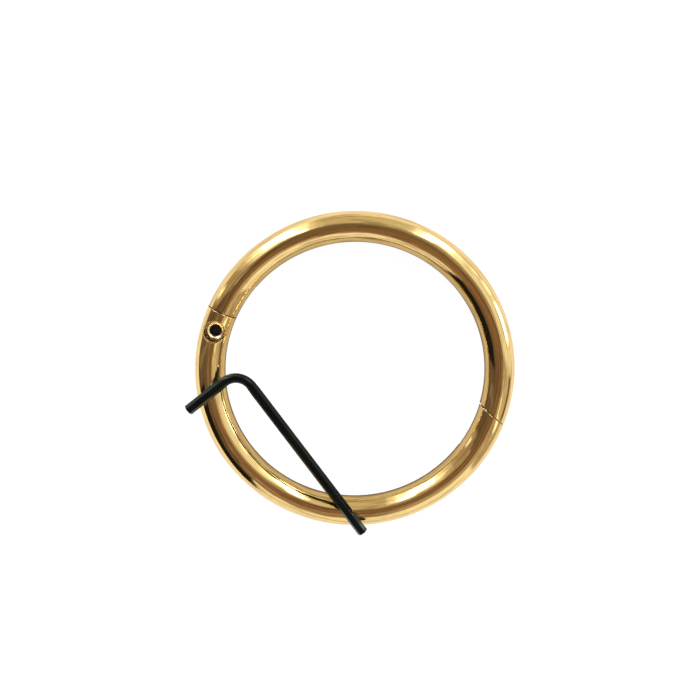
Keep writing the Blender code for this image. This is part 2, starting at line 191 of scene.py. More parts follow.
# Each item's sides, in degrees anticlockwise from +X, its foot and top in degrees
# above the horizon, its colour, and how soft its edges are.  A later item stands in
# front of an earlier one.
ROOM_ITEMS = [
    ("side wall", (-12, 40), (-30, 60), (0.92, 0.91, 0.86, 1.0), 8.0),
    ("side lamp", (1, 16), (6, 21), (8.0, 8.0, 8.0, 1.0), 5.0),
    ("narrow lamp", (20, 26), (2, 28), (1.7, 1.7, 1.7, 1.0), 4.0),
    ("narrow lamp", (29, 34), (6, 24), (1.7, 1.7, 1.7, 1.0), 4.0),
    ("first light glow", (37, 64), (-8, 52), LIGHT_GLOW, 12.0),
    ("first soft light", (45, 56), (8, 38), SOFT_LIGHT, 6.0),
    ("first light edge", (50, 58), (38, 54), LIGHT_EDGE, 6.0),
    ("grey wall", (62, 73), (-30, 66), (0.70, 0.65, 0.56, 1.0), 6.0),
    ("second light glow", (109, 139), (-8, 56), LIGHT_GLOW, 12.0),
    ("second soft light", (118, 131), (8, 40), SOFT_LIGHT, 6.0),
    ("second light edge", (113, 122), (40, 58), LIGHT_EDGE, 6.0),
    ("shaded wall", (146, 166), (-25, 62), (0.42, 0.35, 0.27, 1.0), 5.0),
    ("door frame", (155, 160), (-8, 22), (1.5, 1.5, 1.5, 1.0), 3.0),
    ("doorway", (164, 238), (-8, 70), (0.15, 0.11, 0.09, 1.0), 4.0),
    ("dark beyond the doorway", (197, 237), (-8, 43), (0.015, 0.013, 0.012, 1.0), 4.0),
    ("doorway strip", (183, 189), (14, 60), (0.24, 0.20, 0.17, 1.0), 3.0),
    ("front board", (238, 284), (-10, 45), (0.98, 0.95, 0.92, 1.0), 2.5),
    ("over the board", (238, 284), (44, 66), (0.33, 0.25, 0.20, 1.0), 5.0),
    ("bright board", (284, 313), (-30, 46), (1.02, 1.0, 0.97, 1.0), 3.0),
    ("over the bright board", (284, 313), (46, 66), (0.50, 0.42, 0.33, 1.0), 5.0),
    ("corner wall", (313, 331), (-30, 50), (0.48, 0.41, 0.33, 1.0), 4.0),
    ("corner strip", (324, 329), (30, 62), (1.5, 1.5, 1.5, 1.0), 3.0),
    ("dark shelf", (331, 347), (3, 22), (0.17, 0.14, 0.12, 1.0), 4.0),
]

world = bpy.data.worlds.new("studio")
bpy.context.scene.world = world
world.use_nodes = True
world.node_tree.nodes.clear()
direction = wire(world.node_tree, "ShaderNodeTexCoord", None, None, "Generated")
east, north, lift = split(direction)
elevation = lift.maths("ARCSINE", lift)
mottle = direction.node("ShaderNodeTexNoise", None,
                        {"Vector": direction, "Scale": 5.0, "Detail": 3.0})
room = blend_colours(mottle.step(0.3, 0.7), ROOM_WALLS_DIMMER, ROOM_WALLS)
for _, sides, heights, colour, softness in ROOM_ITEMS:
    facing = math.radians(sum(sides) / 2.0)
    half_width = math.radians((sides[1] - sides[0]) / 2.0)
    ahead = east * math.cos(facing) + north * math.sin(facing)
    aside = north * math.cos(facing) - east * math.sin(facing)
    turn = aside.maths("ARCTAN2", aside, ahead)
    soft = math.radians(softness)
    across = turn.between(-half_width, half_width, soft)
    upright = elevation.between(math.radians(heights[0]), math.radians(heights[1]), soft)
    room = blend_colours(across * upright, room, colour)
room = blend_colours(elevation.step(*CEILING_EDGE), room, CEILING)
seen_directly = wire(world.node_tree, "ShaderNodeLightPath", None, None, "Is Camera Ray")
room = blend_colours(seen_directly, room, WHITE)
background = wire(world.node_tree, "ShaderNodeBackground", None,
                  {"Color": room, "Strength": 1.0})
wire(world.node_tree, "ShaderNodeOutputWorld", None, {"Surface": background})


# ------------------------------------------------------------------ table
# A plain white table.  It glows a little, as a light table does, so that it stays
# white and the ring throws only a faint shadow.  The polished metal mirrors it dimmer
# than that, and dimmest right under the ring, where little light would reach it.
def new_material(name, slot_colour):
    """An empty node material with a plain colour for solid views."""
    material = bpy.data.materials.new(name)
    material.use_nodes = True
    material.node_tree.nodes.clear()
    material.diffuse_color = slot_colour
    return material


def finish_material(material, kind, inputs):
    """Add the material's surface shader and send it to the output."""
    surface = wire(material.node_tree, kind, None, inputs)
    wire(material.node_tree, "ShaderNodeOutputMaterial", None, {"Surface": surface})


def finish_mesh(name, body):
    """Turn mesh data that is under construction into a mesh, and free it."""
    mesh = bpy.data.meshes.new(name)
    body.to_mesh(mesh)
    body.free()
    return mesh


def disc(name, reach, segments):
    """A flat round sheet about the origin."""
    sheet = bmesh.new()
    bmesh.ops.create_circle(sheet, cap_ends=True, segments=segments, radius=reach)
    return finish_mesh(name, sheet)


def link_piece(name, mesh):
    """Put a mesh in the scene as a piece of its own."""
    piece = bpy.data.objects.new(name, mesh)
    bpy.context.scene.collection.objects.link(piece)
    return piece


TABLE_REACH = 900.0 * MM
TABLE_COLOUR = (0.12, 0.12, 0.12, 1.0)
TABLE_GLOW = (0.95, 0.95, 0.96, 1.0)
TABLE_OUTSIDE = (0.86, 0.84, 0.80, 1.0)      # what the metal sees of the table
TABLE_INSIDE = (0.56, 0.50, 0.42, 1.0)
TABLE_UNDER = (0.09, 0.065, 0.05, 1.0)
INSIDE_EDGE = (35.0 * MM, 39.0 * MM)         # from the ring's middle
UNDER_RING = (31.5 * MM, 38.6 * MM)
UNDER_SOFTNESS = 4.0 * MM

table_mesh = disc("table", TABLE_REACH, 96)
table = link_piece("table", table_mesh)
white = new_material("white table", (0.9, 0.9, 0.9, 1.0))
table_grain = wire(white.node_tree, "ShaderNodeTexNoise", None, {"Scale": 60.0})
table_place = wire(white.node_tree, "ShaderNodeTexCoord", None, None, "Object")
from_ring = table_place.node("ShaderNodeVectorMath", {"operation": "DISTANCE"},
                             {0: table_place, 1: CENTRE}, "Value")
inside = 1.0 - from_ring.step(*INSIDE_EDGE)
under = from_ring.between(*UNDER_RING, UNDER_SOFTNESS)
table_seen = blend_colours(inside, TABLE_OUTSIDE, TABLE_INSIDE)
table_seen = blend_colours(under, table_seen, TABLE_UNDER)
table_looked_at = wire(white.node_tree, "ShaderNodeLightPath", None, None, "Is Camera Ray")
table_seen = blend_colours(table_looked_at, table_seen, TABLE_GLOW)
finish_material(white, "ShaderNodeBsdfPrincipled", {
    "Base Color": TABLE_COLOUR, "Roughness": table_grain * 0.1 + 0.8,
    "Specular IOR Level": 0.0, "Emission Color": table_seen, "Emission Strength": 1.0})
table_mesh.materials.append(white)

# ------------------------------------------------------------------ shade overhead
# A dim brown shade hangs over the front of the ring, out of the camera's sight.  The
# polished bar shows it as a reddish band along its top.
SHADE_PLACE = CENTRE + Vector((-12.0, -66.0, 240.0)) * MM
SHADE_REACH = 54.0 * MM
SHADE_GLOW = (0.30, 0.15, 0.10, 1.0)

shade_mesh = disc("shade", SHADE_REACH, 64)
shade_mesh.transform(Matrix.Translation(SHADE_PLACE))
shade = link_piece("shade", shade_mesh)
shade.visible_camera = False
shade.visible_shadow = False
brown_cloth = new_material("brown cloth", SHADE_GLOW)
cloth_noise = wire(brown_cloth.node_tree, "ShaderNodeTexNoise", None, {"Scale": 9.0})
cloth_colour = blend_colours(cloth_noise.step(0.3, 0.7), SHADE_GLOW, CEILING)
finish_material(brown_cloth, "ShaderNodeEmission",
                {"Color": cloth_colour, "Strength": 1.0})
shade_mesh.materials.append(brown_cloth)

# ------------------------------------------------------------------ gold plate
# Both halves and the lock screw are brass, polished along the bar and gold plated.
# The plate keeps faint polishing lines, a slight waviness and dulled places.
LOCK_SEAM = 154.8                # degrees round the ring, anticlockwise from +X
GOLD = (0.95, 0.70, 0.30, 1.0)
WORN_GOLD = (0.84, 0.53, 0.19, 1.0)
LINE_BROWN = (0.30, 0.17, 0.07, 1.0)
SEAM_GRIME = (0.16, 0.085, 0.035, 1.0)
PAINTED_LIGHT_GOLD = (1.0, 0.80, 0.47, 1.0)          # the bead-blasted keyhole and screw; the paler gold is painted light that brightens the inside of the hole
# painted shade: black, dull paint for the deep hex socket and the foot of its mouth
SOCKET_PAINTED_SHADE = (0.004, 0.004, 0.004, 1.0)
KEYHOLE_STATION = 162.8
KEYHOLE_POINT = from_centre(RING_RADIUS, KEYHOLE_STATION)
KEYHOLE_EDGE = (2.78 * MM, 2.90 * MM)        # where the satin finish and the painted light begin, from its axis
# where the socket's painted shade ends, from the keyhole's axis
SOCKET_EDGE = (1.62 * MM, 1.74 * MM)

gold_plate = new_material("polished gold plate", GOLD)
place = wire(gold_plate.node_tree, "ShaderNodeTexCoord", None, None, "Object")
about = place.node("ShaderNodeVectorMath", {"operation": "SUBTRACT"},
                   {0: place, 1: CENTRE})
along_x, along_y, height = split(about)
radius_squared = along_x * along_x + along_y * along_y
radius = radius_squared.maths("SQRT", radius_squared)
seam_turn = math.radians(LOCK_SEAM - 180.0)
seam_x = along_x * math.cos(seam_turn) + along_y * math.sin(seam_turn)
seam_y = along_y * math.cos(seam_turn) - along_x * math.sin(seam_turn)
station = seam_y.maths("ARCTAN2", seam_y, seam_x)     # its jump falls in the lock seam
bar_length = station * RING_RADIUS
lengthwise = place.node("ShaderNodeCombineXYZ", None,
                        {0: radius, 1: height, 2: bar_length * 0.035})
streaks = place.node("ShaderNodeTexNoise", None,
                     {"Vector": lengthwise, "Scale": 2100.0, "Detail": 3.0})
waves = place.node("ShaderNodeTexNoise", None,
                   {"Vector": lengthwise, "Scale": 700.0, "Detail": 3.0})
swell = place.node("ShaderNodeTexNoise", None,
                   {"Vector": about, "Scale": 130.0, "Detail": 2.0})
clouds = place.node("ShaderNodeTexNoise", None,
                    {"Vector": about, "Scale": 420.0, "Detail": 5.0, "Roughness": 0.65})
scratch_space = place.node("ShaderNodeCombineXYZ", None,
                           {0: radius, 1: height, 2: bar_length * 0.12})
scratch_cells = place.node("ShaderNodeTexVoronoi", {"feature": "DISTANCE_TO_EDGE"},
                           {"Vector": scratch_space, "Scale": 700.0})
scratches = 1.0 - scratch_cells.step(0.0, 0.035)
pits = place.node("ShaderNodeTexVoronoi", None, {"Vector": about, "Scale": 900.0})
pits = (1.0 - pits.step(0.03, 0.16)) * clouds.step(0.5, 0.7)
dulled = clouds.step(0.52, 0.75)
hair = place.node("ShaderNodeTexNoise", None,
                  {"Vector": lengthwise, "Scale": 4600.0, "Detail": 2.0})
lines = (streaks * 0.5 + waves * 0.2 + hair * 0.3).step(0.50, 0.58)
from_keyhole = about.node("ShaderNodeVectorMath", {"operation": "MULTIPLY"},
                          {0: place, 1: (1.0, 1.0, 0.0)})
from_keyhole = about.node("ShaderNodeVectorMath", {"operation": "DISTANCE"},
                          {0: from_keyhole, 1: KEYHOLE_POINT}, "Value")
keyhole_satin_and_light = 1.0 - from_keyhole.step(*KEYHOLE_EDGE)
socket_shade_mask = 1.0 - from_keyhole.step(*SOCKET_EDGE)
relief = (streaks * 0.02 + waves * 0.085 + hair * 0.003 + swell * 0.09
          - scratches * dulled * 0.0015 - pits * 0.002) * (1.0 - keyhole_satin_and_light)
plate_bump = relief.node("ShaderNodeBump", None,
                         {"Strength": 1.0, "Distance": MM, "Height": relief})
plate_colour = blend_colours(dulled * 0.55, GOLD, WORN_GOLD)
plate_colour = blend_colours(lines * 0.5, plate_colour, LINE_BROWN)
plate_colour = blend_colours(pits * 0.7, plate_colour, SEAM_GRIME)
# painted light: a paler gold inside the keyhole and on the screw
plate_colour = blend_colours(keyhole_satin_and_light, plate_colour, PAINTED_LIGHT_GOLD)
# painted shade: black in the screw's socket
plate_colour = blend_colours(socket_shade_mask, plate_colour, SOCKET_PAINTED_SHADE)
plate_roughness = (0.05 + streaks.step(0.45, 0.8) * 0.06 + dulled * 0.08
                   + scratches * 0.05 + pits * 0.2 + keyhole_satin_and_light * 0.2
                   + socket_shade_mask * 0.2)
finish_material(gold_plate, "ShaderNodeBsdfPrincipled", {
    "Base Color": plate_colour, "Metallic": 1.0 - socket_shade_mask,
    "Roughness": plate_roughness, "Normal": plate_bump})

# ------------------------------------------------------------------ the two half rings
# Each half is round brass bar bent to the ring, its ends cut square to their seams and
# just broken, then slotted, cross drilled from below and polished before plating.
HINGE_SEAM_INNER = -14.5         # the hinge seam is slanted: its inner end ...
HINGE_SEAM_OUTER = -20.0         # ... and its outer end, degrees round the ring
HINGE_SEAM = (HINGE_SEAM_INNER + HINGE_SEAM_OUTER) / 2.0
HALF_GAP = 0.15 * MM             # from a seam's middle to the face on either side
END_ROUND = 0.10 * MM
END_ROUND_STEPS = 4
AROUND = 96
STEP_ALONG = 0.72                # degrees


class Seam:
    """An upright plane across the bar; facing is in plan, into the half it ends."""

    def __init__(self, inner, outer, upwards_side):
        first = from_centre(RING_RADIUS - BAR_RADIUS, inner) - CENTRE
        second = from_centre(RING_RADIUS + BAR_RADIUS, outer) - CENTRE
        across = (second - first).normalized()
        self.point = first
        self.facing = Vector((-across.y, across.x, 0.0)) * upwards_side
        self.station = (inner + outer) / 2.0

    def station_at(self, radius, distance):
        """Degrees round the ring where a circle of this radius is so far from it."""
        offset = (self.point.dot(self.facing) + distance) / radius
        middle = math.degrees(math.atan2(self.facing.y, self.facing.x))
        swing = math.degrees(math.acos(offset))
        choices = [middle + swing, middle - swing]
        return min((self.station + (choice - self.station + 180.0) % 360.0 - 180.0
                    for choice in choices), key=lambda value: abs(value - self.station))


def bar_point(station, around, inset=0.0):
    """A point on the bar, around in radians from its outer side over the top."""
    reach = BAR_RADIUS - inset
    return from_centre(RING_RADIUS + reach * math.cos(around), station,
                       BAR_RADIUS + reach * math.sin(around))


def bar_loops(seam, low_end):
    """Loops that round the bar's end over into its face, from the face outwards."""
    loops = []
    for step in range(END_ROUND_STEPS + 1):
        angle = math.pi / 2.0 * step / END_ROUND_STEPS
        inset = END_ROUND * (1.0 - math.sin(angle))
        distance = HALF_GAP + END_ROUND * (1.0 - math.cos(angle))
        loop = []
        for index in range(AROUND):
            around = 2.0 * math.pi * index / AROUND
            across = RING_RADIUS + (BAR_RADIUS - inset) * math.cos(around)
            loop.append((seam.station_at(across, distance), around, inset))
        loops.append(loop)
    return loops if low_end else loops[::-1]


KEYHOLE_RIM = 2.92 * MM
KEYHOLE_ROUND = 0.13 * MM
KEYHOLE_ROUND_STEPS = 5
KEYHOLE_UNDERCUT = 0.02 * MM     # how far the rounding runs in past the rim
# radius and height down the wall in millimetres, ending in the slot that is cut later
KEYHOLE_WALL = [(2.78, 6.6), (2.66, 6.15), (2.50, 5.7), (2.38, 5.3), (2.38, 4.5)]
KEYHOLE_RINGS = 7                # from the square border to the rim, closer as they go
KEYHOLE_CROWDING = 1.3
KEYHOLE_REACH = 4.6 * MM         # the piece of the bar that is drawn in rings round it
KEYHOLE_SPREAD = 17              # columns either side of the top
SLOT_REACH = 6.0 * MM            # either side of the bar's middle, past its surface
NEARLY_ALIKE = 0.99
ON_BAR_WITHIN = 0.012 * MM
PIN_SIDES = 48
PIN_SPACE = 0.03 * MM            # between a pin and its hole
PIN_MOUTH = [(0.35 * MM, -0.2 * MM), (0.15 * MM, 0.0), (0.0, 0.15 * MM)]
PIN_HOLE_TOP = 7.0 * MM


def on_bar_top(point):
    """Lift a plan point onto the top of the bar."""
    flat = Vector((point.x - CENTRE.x, point.y - CENTRE.y))
    across = flat.length - RING_RADIUS
    return Vector((point.x, point.y,
                   BAR_RADIUS + math.sqrt(BAR_RADIUS ** 2 - across ** 2)))


def draw_keyhole(body, border):
    """Rings from a square border on the bar's top to the keyhole's rim and wall."""
    previous = border
    directions = []
    for corner in border:
        flat = corner.co - KEYHOLE_POINT
        flat.z = 0.0
        directions.append(flat)
    loops = []
    for step in range(1, KEYHOLE_RINGS + 1):
        share = 1.0 - (1.0 - step / KEYHOLE_RINGS) ** KEYHOLE_CROWDING
        loop = []
        for flat in directions:
            rim = flat.normalized() * (KEYHOLE_RIM + KEYHOLE_ROUND)
            loop.append(on_bar_top(KEYHOLE_POINT + flat.lerp(rim, share)))
        loops.append(loop)
    for step in range(1, KEYHOLE_ROUND_STEPS + 1):
        share = step / KEYHOLE_ROUND_STEPS
        loop = []
        for flat in directions:
            outward = flat.normalized()
            start = on_bar_top(KEYHOLE_POINT + outward * (KEYHOLE_RIM + KEYHOLE_ROUND))
            middle = on_bar_top(KEYHOLE_POINT + outward * KEYHOLE_RIM)
            end = middle - Vector((0.0, 0.0, KEYHOLE_ROUND)) - outward * KEYHOLE_UNDERCUT
            loop.append(start.lerp(middle, share).lerp(middle.lerp(end, share), share))
        loops.append(loop)
    for wall_radius, wall_height in KEYHOLE_WALL:
        loops.append([Vector((KEYHOLE_POINT.x, KEYHOLE_POINT.y, wall_height * MM))
                      + flat.normalized() * wall_radius * MM for flat in directions])
    for loop in loops:
        corners = [body.verts.new(point) for point in loop]
        count = len(corners)
        for index in range(count):
            after = (index + 1) % count
            body.faces.new((previous[index], previous[after],
                            corners[after], corners[index]))
        previous = corners
    body.faces.new(previous)


def half_bar(name, first_seam, last_seam, keyhole=False):
    """A closed half ring between two seams, before its slots and pin holes."""
    body = bmesh.new()
    loops = bar_loops(first_seam, True)
    low_edge, high_edge = loops[-1], bar_loops(last_seam, False)[0]
    count = round((last_seam.station - first_seam.station) / STEP_ALONG)
    for step in range(1, count):
        share = step / count
        loops.append([(low[0] + (high[0] - low[0]) * share, low[1], 0.0)
                      for low, high in zip(low_edge, high_edge)])
    loops += bar_loops(last_seam, False)
    rows = [[body.verts.new(bar_point(*corner)) for corner in loop] for loop in loops]
    top = AROUND // 4
    left_out = set()
    if keyhole:
        near = [index for index, loop in enumerate(loops)
                if abs(math.radians(loop[top][0] - KEYHOLE_STATION)) * RING_RADIUS
                < KEYHOLE_REACH and END_ROUND_STEPS < index < len(loops) - 6]
        left_out = {(row, column) for row in near[:-1]
                    for column in range(top - KEYHOLE_SPREAD, top + KEYHOLE_SPREAD)}
    for row in range(len(rows) - 1):
        for column in range(AROUND):
            if (row, column) in left_out:
                continue
            after = (column + 1) % AROUND
            body.faces.new((rows[row][column], rows[row + 1][column],
                            rows[row + 1][after], rows[row][after]))
    body.faces.new(rows[0])
    body.faces.new(rows[-1][::-1])
    if keyhole:
        low, high = near[0], near[-1]
        right, left = top - KEYHOLE_SPREAD, top + KEYHOLE_SPREAD
        border = [rows[row][right] for row in range(low, high)]
        border += [rows[high][column] for column in range(right, left)]
        border += [rows[row][left] for row in range(high, low, -1)]
        border += [rows[low][column] for column in range(left, right, -1)]
        draw_keyhole(body, border)
        for corner in [vertex for vertex in body.verts if not vertex.link_faces]:
            body.verts.remove(corner)
    return finish_mesh(name, body)


def prism(name, outline, low, high):
    """An upright prism on a plan outline, given anticlockwise."""
    body = bmesh.new()
    floor = [body.verts.new((point.x, point.y, low)) for point in outline]
    roof = [body.verts.new((point.x, point.y, high)) for point in outline]
    count = len(outline)
    for index in range(count):
        after = (index + 1) % count
        body.faces.new((floor[index], floor[after], roof[after], roof[index]))
    body.faces.new(floor[::-1])
    body.faces.new(roof)
    return finish_mesh(name, body)


def turned(name, middle, profile, sides=64):
    """A closed upright turned shape: (radius, height) from its foot to its top."""
    body = bmesh.new()
    loops = []
    for reach, level in profile:
        loops.append([body.verts.new((middle.x + reach * math.cos(angle),
                                      middle.y + reach * math.sin(angle), level))
                      for angle in (2.0 * math.pi * side / sides for side in range(sides))])
    for below, above in zip(loops, loops[1:]):
        for side in range(sides):
            after = (side + 1) % sides
            body.faces.new((below[side], below[after], above[after], above[side]))
    body.faces.new(loops[0][::-1])
    body.faces.new(loops[-1])
    return finish_mesh(name, body)


def machine(name, mesh, cutters, shared=None):
    """Cut each cutter's shape away from a mesh; shared keeps only what is inside it."""
    piece = link_piece(name, mesh)
    helpers = []
    for cutter in cutters + ([shared] if shared else []):
        helper = link_piece("cutter", cutter)
        helpers.append(helper)
        modifier = piece.modifiers.new("cut", "BOOLEAN")
        modifier.operation = "INTERSECT" if cutter is shared else "DIFFERENCE"
        modifier.solver = "EXACT"
        modifier.object = helper
    bpy.context.view_layer.update()
    evaluated = piece.evaluated_get(bpy.context.evaluated_depsgraph_get())
    finished = bpy.data.meshes.new_from_object(evaluated)
    piece.modifiers.clear()
    piece.data = finished
    finished.name = name
    for helper in helpers:
        bpy.data.objects.remove(helper, do_unlink=True)
    return piece


def shade_edges(piece, sharpest):
    """Smooth shading, but crisp where faces meet at more than so many degrees."""
    piece.data.shade_smooth()
    piece.data.set_sharp_from_angle(angle=math.radians(sharpest))


def true_normals(piece):
    """Give faces on the round bar the bar's own normals, so that it mirrors cleanly."""
    shade_edges(piece, 28.0)
    mesh = piece.data
    normals = [corner.vector.copy() for corner in mesh.corner_normals]
    for face in mesh.polygons:
        middle = bar_normal(face.center)
        if middle is None or middle.dot(face.normal) < NEARLY_ALIKE:
            continue
        exact = [bar_normal(mesh.vertices[index].co) for index in face.vertices]
        if any(normal is None for normal in exact):
            continue
        for loop, normal in zip(face.loop_indices, exact):
            normals[loop] = normal
    mesh.normals_split_custom_set(normals)


def bar_normal(point):
    """The bar's normal at a point on its surface, or None where it is off it."""
    flat = Vector((point.x - CENTRE.x, point.y - CENTRE.y, 0.0))
    spine = flat.normalized() * RING_RADIUS
    out = Vector((flat.x - spine.x, flat.y - spine.y, point.z - BAR_RADIUS))
    if abs(out.length - BAR_RADIUS) > ON_BAR_WITHIN:
        return None
    return out.normalized()


def slot_outline(station, start, end):
    """A plan rectangle across the bar, start to end along the tangent at a station."""
    angle = math.radians(station)
    outward = Vector((math.cos(angle), math.sin(angle), 0.0)) * SLOT_REACH
    tangent = Vector((-math.sin(angle), math.cos(angle), 0.0))
    middle = from_centre(RING_RADIUS, station)
    return [middle + tangent * start - outward, middle + tangent * start + outward,
            middle + tangent * end + outward, middle + tangent * end - outward]


def pin_hole(point, pin_radius):
    """A blind hole for a pin from the underside, with a countersunk mouth."""
    hole = pin_radius + PIN_SPACE
    profile = [(hole + wider, level) for wider, level in PIN_MOUTH]
    return turned("pin_hole", point, profile + [(hole, PIN_HOLE_TOP)], PIN_SIDES)


def plate_bore(point, bore_radius):
    """A plain round hole right through a plate."""
    return turned("plate_bore", point,
                  [(bore_radius, 0.0), (bore_radius, 2.0 * BAR_RADIUS)], PIN_SIDES)


tongue_low, tongue_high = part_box("lock_tongue")
leaf_low, leaf_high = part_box("hinge_leaf")
TAIL_LENGTH = 9.0 * MM
END_SPACE = 0.4 * MM
RUN_SPACE = 0.15 * MM            # above and below a plate that slides in its slot
FIT_SPACE = 0.05 * MM            # round a plate that is pinned tight
SLOT_OVERRUN = 5.0 * MM
HINGE_OFFSET = 9.0 * MM          # from the hinge seam to the pin, along the bar
EYE_RADIUS = 2.8 * MM
TONGUE_TIP = 4.2 * MM            # from the screw's axis to the tongue's end


def further_round(station, distance):
    """The station that lies distance further anticlockwise along the bar."""
    return station + math.degrees(distance / RING_RADIUS)


HINGE_STATION = further_round(HINGE_SEAM, -HINGE_OFFSET)
hinge_joint = next(joint for joint in frame["joints"] if joint["name"] == "hinge_swing")
HINGE_POINT = Vector((hinge_joint["pos_m"][0], hinge_joint["pos_m"][1], 0.0))
CROSS_PIN_STATIONS = (3.4 * MM, 6.8 * MM)
tongue_pins = [from_centre(RING_RADIUS, further_round(LOCK_SEAM, -distance))
               for distance in CROSS_PIN_STATIONS]
leaf_pins = [from_centre(RING_RADIUS, further_round(HINGE_SEAM, distance))
             for distance in CROSS_PIN_STATIONS]
TONGUE_LENGTH = TONGUE_TIP + (KEYHOLE_POINT - from_centre(RING_RADIUS, LOCK_SEAM)).dot(
    plan_way(LOCK_SEAM + 90.0))
PIN_RADIUS = 0.75 * MM
HINGE_PIN_RADIUS = 1.0 * MM
SCREW_RADIUS = 2.4 * MM
THREAD_CREST = SCREW_RADIUS + 0.1 * MM       # of the thread that the screw turns in
THREAD_ROOT = SCREW_RADIUS + 0.4 * MM
LOCK_HOLE_FLOOR = 0.6 * MM
LOCK_HOLE_TOP = 2.7 * MM

upper_face = Seam(HINGE_SEAM_INNER, HINGE_SEAM_OUTER, 1.0)
upper = half_bar("upper_half_bar", upper_face, Seam(LOCK_SEAM, LOCK_SEAM, -1.0))
upper_cutters = [
    prism("tail_slot", slot_outline(LOCK_SEAM, -TAIL_LENGTH - END_SPACE, SLOT_OVERRUN),
          tongue_low.z - FIT_SPACE, tongue_high.z + FIT_SPACE),
    prism("tail_slot", slot_outline(HINGE_SEAM, -SLOT_OVERRUN, TAIL_LENGTH + END_SPACE),
          leaf_low.z - FIT_SPACE, leaf_high.z + FIT_SPACE),
]
upper_cutters += [pin_hole(point, PIN_RADIUS) for point in tongue_pins + leaf_pins]
upper_half_bar = machine("upper_half_bar", upper, upper_cutters)
true_normals(upper_half_bar)
upper_half_bar.data.materials.append(gold_plate)
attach(upper_half_bar, "upper")
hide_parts("upper_half")

lower_first = Seam(LOCK_SEAM, LOCK_SEAM, 1.0)
lower_last = Seam(HINGE_SEAM_INNER + 360.0, HINGE_SEAM_OUTER + 360.0, -1.0)
lower = half_bar("lower_half_bar", lower_first, lower_last, keyhole=True)
lower_cutters = [
    prism("tongue_slot", slot_outline(LOCK_SEAM, -SLOT_OVERRUN, TONGUE_LENGTH + END_SPACE),
          tongue_low.z - RUN_SPACE, tongue_high.z + RUN_SPACE),
    prism("leaf_slot", slot_outline(HINGE_STATION, -EYE_RADIUS - END_SPACE,
                                    HINGE_OFFSET + SLOT_OVERRUN),
          leaf_low.z - RUN_SPACE, leaf_high.z + RUN_SPACE),
    pin_hole(HINGE_POINT, HINGE_PIN_RADIUS),
    turned("lock_hole", KEYHOLE_POINT, [(THREAD_CREST, LOCK_HOLE_FLOOR),
                                        (THREAD_CREST, LOCK_HOLE_TOP)]),
]
lower_half_bar = machine("lower_half_bar", lower, lower_cutters)
true_normals(lower_half_bar)
lower_half_bar.data.materials.append(gold_plate)
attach(lower_half_bar, "lower")
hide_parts("lower_half")

# ------------------------------------------------------------------ machined steel
# The tongue, the hinge leaf and the pins are stainless steel, milled and ground, with
# fine straight tool lines and a satin shine.
STEEL = (0.62, 0.61, 0.58, 1.0)
DARK_STEEL = (0.46, 0.44, 0.41, 1.0)

bare_steel = new_material("machined steel", STEEL)
steel_place = wire(bare_steel.node_tree, "ShaderNodeTexCoord", None, None, "Object")
steel_lines_space = steel_place.node("ShaderNodeMapping", None,
                                     {"Vector": steel_place, "Scale": (1.0, 0.05, 1.0),
                                      "Rotation": (0.0, 0.0, math.radians(-LOCK_SEAM))})
steel_lines = steel_place.node("ShaderNodeTexNoise", None,
                               {"Vector": steel_lines_space, "Scale": 6000.0,
                                "Detail": 3.0})
steel_stain = steel_place.node("ShaderNodeTexNoise", None,
                               {"Vector": steel_place, "Scale": 600.0, "Detail": 4.0})
steel_bump = steel_lines.node("ShaderNodeBump", None,
                              {"Strength": 0.6, "Distance": MM,
                               "Height": steel_lines * 0.006 + steel_stain * 0.01})
finish_material(bare_steel, "ShaderNodeBsdfPrincipled", {
    "Base Color": blend_colours(steel_stain.step(0.45, 0.75), STEEL, DARK_STEEL),
    "Metallic": 1.0, "Normal": steel_bump,
    "Roughness": 0.2 + steel_lines * 0.16 + steel_stain.step(0.4, 0.8) * 0.12})


# ------------------------------------------------------------------ tongue and hinge leaf
# Two flat steel plates, each with its tail pinned in the upper half.  The tongue's tip
# is bored and threaded for the screw, and the leaf ends in an eye round the hinge pin.
# Their edges are ground flush with the outside of the bar.
WHOLE_BAR_ROWS = 240
PLATE_SHAVE = 0.02 * MM
PLATE_SHARPEST = 25.0            # degrees
EYE_SPACE = 0.04 * MM            # between the hinge pin and the leaf that turns on it
THREAD_PITCH = 0.8 * MM


def whole_bar(shave):
    """The whole ring as one closed solid, a little thinner than the bar."""
    body = bmesh.new()
    rows = [[body.verts.new(bar_point(row * 360.0 / WHOLE_BAR_ROWS,
                                      2.0 * math.pi * side / AROUND, shave))
             for side in range(AROUND)] for row in range(WHOLE_BAR_ROWS)]
    for row in range(WHOLE_BAR_ROWS):
        for side in range(AROUND):
            after = (side + 1) % AROUND
            ahead_row = rows[(row + 1) % WHOLE_BAR_ROWS]
            body.faces.new((rows[row][side], ahead_row[side],
                            ahead_row[after], rows[row][after]))
    return finish_mesh("whole_bar", body)


def arc_points(middle, arc_radius, start, end, steps):
    """Points on an arc in plan, start and end in degrees."""
    points = []
    for step in range(steps + 1):
        angle = math.radians(start + (end - start) * step / steps)
        points.append(middle + Vector((math.cos(angle), math.sin(angle), 0.0)) * arc_radius)
    return points


def meeting(start, direction, first, second):
    """Where a line from start meets the line through two points, in plan."""
    side = Vector((second.y - first.y, first.x - second.x, 0.0))
    return start + direction * ((first - start).dot(side) / direction.dot(side))


